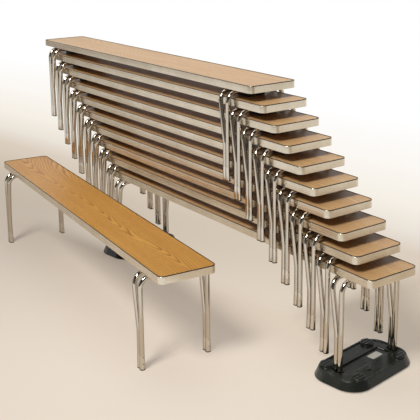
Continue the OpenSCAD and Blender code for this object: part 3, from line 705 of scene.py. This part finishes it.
paper, paper_tree, paper_shader = new_material("background_paper")
paper_place = add(paper_tree, "ShaderNodeTexCoord").outputs["Object"]
far_way = add(paper_tree, "ShaderNodeVectorMath", {"operation": "DOT_PRODUCT"}, _0=paper_place,
              _1=BACKWARDS).outputs["Value"]
right_way = add(paper_tree, "ShaderNodeSeparateXYZ", Vector=paper_place).outputs["X"]
fade = add(paper_tree, "ShaderNodeMapRange", Value=far_way, From_Min=NEAR, From_Max=FAR).outputs[0]
lit_tone = add(paper_tree, "ShaderNodeValToRGB", Fac=fade,
               stops=[((way - NEAR) / (FAR - NEAR), linear(tone)) for way, tone in PAPER_TONES]).outputs["Color"]
left_painted_shade = add(paper_tree, "ShaderNodeMapRange", SOFT_STEP, Value=right_way, From_Min=-1.6, From_Max=0.9,
                To_Min=LEAST_LEFT_SHADE, To_Max=1.0).outputs[0]
near_part = add(paper_tree, "ShaderNodeMapRange", SOFT_STEP, Value=far_way, From_Min=1.3, From_Max=0.3).outputs[0]
# The near left part is darkened by painted shade
painted_shade_level = add(paper_tree, "ShaderNodeMix", {"data_type": "FLOAT"}, _0=near_part, _2=1.0, _3=left_painted_shade).outputs[0]
paper_tone = add(paper_tree, "ShaderNodeVectorMath", {"operation": "SCALE"}, _0=lit_tone, Scale=painted_shade_level).outputs[0]
connect(paper_tree, paper_shader, Base_Color=paper_tone, Roughness=0.9)
glow = add(paper_tree, "ShaderNodeEmission", Color=paper_tone, Strength=1.0)

# The glow fills the shade behind the stack, but not beside its right-hand end, and is full far off
behind_set = add(paper_tree, "ShaderNodeMapRange", SOFT_STEP, Value=far_way, From_Min=0.0, From_Max=0.35).outputs[0]
left_of_end = add(paper_tree, "ShaderNodeMapRange", SOFT_STEP, Value=right_way, From_Min=0.9, From_Max=0.55).outputs[0]
far_off = add(paper_tree, "ShaderNodeMapRange", SOFT_STEP, Value=far_way, From_Min=0.9, From_Max=1.5).outputs[0]
behind = add(paper_tree, "ShaderNodeMath", {"operation": "MULTIPLY"}, _0=behind_set, _1=left_of_end).outputs[0]
full = add(paper_tree, "ShaderNodeMath", {"operation": "MAXIMUM"}, _0=behind, _1=far_off).outputs[0]
glow_share = add(paper_tree, "ShaderNodeMath", {"operation": "MAXIMUM"}, _0=full, _1=LEAST_GLOW).outputs[0]
paper_path = add(paper_tree, "ShaderNodeLightPath")
paper_seen = add(paper_tree, "ShaderNodeMath", {"operation": "MAXIMUM"}, _0=paper_path.outputs["Is Camera Ray"],
                 _1=paper_path.outputs["Is Glossy Ray"]).outputs[0]
glowing = add(paper_tree, "ShaderNodeMath", {"operation": "MULTIPLY"}, _0=paper_seen, _1=glow_share).outputs[0]
blend = add(paper_tree, "ShaderNodeMixShader", Fac=glowing, _1=paper_shader.outputs[0], _2=glow.outputs[0])
connect(paper_tree, next(n for n in paper_tree.nodes if n.type == "OUTPUT_MATERIAL"), Surface=blend.outputs[0])
floor_mesh.materials.append(paper)
print("paper tones:", len(PAPER_TONES))

# %% [markdown]
# Photographers light metal with what it mirrors. A white card lies on the floor just out of the picture, on the
# camera's side. It lights up the rounded corners of the metal edges and the middle of each chromed tube. A lamp there
# would also light the wood, so the card shines a little by itself and only mirrored rays see it.

# %% White card
CARD_LIFT = 0.002
CARD_CORNERS = ((-8.0, -2.9), (-8.0, -9.0), (0.78, -9.0), (0.78, -1.2), (8.0, -9.0), (8.0, -4.0), (1.72, 0.12))
card_mesh = bpy.data.meshes.new("white_card")
card_mesh.from_pydata([(x, y, CARD_LIFT) for x, y in CARD_CORNERS], [], [(0, 1, 2, 3), (3, 2, 4, 5, 6)])
card = bpy.data.objects.new("white_card", card_mesh)
scene.collection.objects.link(card)
card.visible_camera = card.visible_diffuse = card.visible_shadow = card.visible_transmission = False
card_white, card_tree, card_shader = new_material("white_card_paper")
connect(card_tree, card_shader, Base_Color=BLACK, Specular_IOR_Level=0.0, Emission_Color=WHITE, Emission_Strength=1.0)
card_mesh.materials.append(card_white)
print("card faces:", len(card_mesh.polygons))

# %% [markdown]
# The rest of the room is the world. For plain light it is an even, weak grey. For the camera and for mirrored rays it
# is white at the back of the studio, and dark overhead and behind the camera, because chrome looks like chrome only
# when it has dark bands to mirror. A picture of a real room would do this too, but with windows that aren't there.

# %% Sky
PLAIN_LEVEL, CEILING_LEVEL, SIDE_LEVEL = 0.17, 0.1, 0.12
AWAY_FROM_CAMERA = (-0.815, 0.579, 0.0)
world = bpy.data.worlds.new("studio")
scene.world = world
world.use_nodes = True
sky_tree = world.node_tree
sky = next(n for n in sky_tree.nodes if n.type == "BACKGROUND")
sky_path = add(sky_tree, "ShaderNodeLightPath")
sky_seen = add(sky_tree, "ShaderNodeMath", {"operation": "MAXIMUM"}, _0=sky_path.outputs["Is Camera Ray"],
               _1=sky_path.outputs["Is Glossy Ray"]).outputs[0]
sky_way = add(sky_tree, "ShaderNodeTexCoord").outputs["Generated"]
sky_height = add(sky_tree, "ShaderNodeSeparateXYZ", Vector=sky_way).outputs["Z"]
sky_back = add(sky_tree, "ShaderNodeVectorMath", {"operation": "DOT_PRODUCT"}, _0=sky_way,
               _1=AWAY_FROM_CAMERA).outputs["Value"]
ceiling = add(sky_tree, "ShaderNodeMapRange", SOFT_STEP, Value=sky_height, From_Min=0.15, From_Max=0.6,
              To_Min=1.0, To_Max=CEILING_LEVEL).outputs[0]
dark_side = add(sky_tree, "ShaderNodeMapRange", SOFT_STEP, Value=sky_back, From_Min=-0.2, From_Max=0.3,
                To_Min=SIDE_LEVEL, To_Max=1.0).outputs[0]
backdrop = add(sky_tree, "ShaderNodeMath", {"operation": "MULTIPLY"}, _0=ceiling, _1=dark_side).outputs[0]
sky_level = add(sky_tree, "ShaderNodeMix", {"data_type": "FLOAT"}, _0=sky_seen, _2=PLAIN_LEVEL, _3=backdrop).outputs[0]
connect(sky_tree, sky, Color=WHITE, Strength=sky_level)
print("sky nodes:", len(sky_tree.nodes))

# %% [markdown]
# The photograph's shadows are soft and fall to the back right, so the main lamp is a large soft box high up behind
# the camera's left. A point light would draw hard shadows. A second, weak soft box overhead opens the shade between
# the benches.


# %% Lights
def soft_light(name, place, target, size, power, colour):
    """A square area light that faces a target."""
    data = bpy.data.lights.new(name, "AREA")
    data.shape, data.size, data.energy, data.color = "SQUARE", size, power, linear(colour)[:3]
    lamp = bpy.data.objects.new(name, data)
    lamp.location = place
    lamp.rotation_euler = (Vector(target) - Vector(place)).to_track_quat("-Z", "Y").to_euler()
    scene.collection.objects.link(lamp)
    print("light", name, "%.0f W" % power)


soft_light("key", (2.7, -6.1, 8.8), (0.4, -0.2, 0.3), 3.0, 1050.0, "#FFFBF6")
soft_light("overhead", (-0.6, 0.6, 3.6), (0.0, 0.0, 0.2), 3.0, 40.0, "#FFFFFF")

# %% [markdown]
# The camera stands where the photograph was taken from. Its heading, tilt and roll come from a fit to the benches'
# corners, and the picture is the lower part of a taller one, which is what the small downward shift says.

# %% Camera
CAMERA_AT = (3.4999, -2.1031, 1.7412)
HEADING, TILT, ROLL = 0.9537, -0.2409, -0.0113
FOCAL_PIXELS, MIDDLE_Y, PICTURE = 889.97, 140.0, 420.0
camera_data = bpy.data.cameras.new("camera")
camera_data.sensor_width = 36.0
camera_data.lens = FOCAL_PIXELS / PICTURE * camera_data.sensor_width
camera_data.shift_y = (MIDDLE_Y - PICTURE / 2) / PICTURE
camera_data.clip_end = 200.0
camera = bpy.data.objects.new("camera", camera_data)
camera.matrix_world = (Matrix.Translation(CAMERA_AT) @ Matrix.Rotation(HEADING, 4, "Z")
                       @ Matrix.Rotation(math.pi / 2 + TILT, 4, "X") @ Matrix.Rotation(ROLL, 4, "Z"))
scene.collection.objects.link(camera)
scene.camera = camera
scene.view_settings.view_transform = "Standard"
print("lens: %.1f mm" % camera_data.lens)
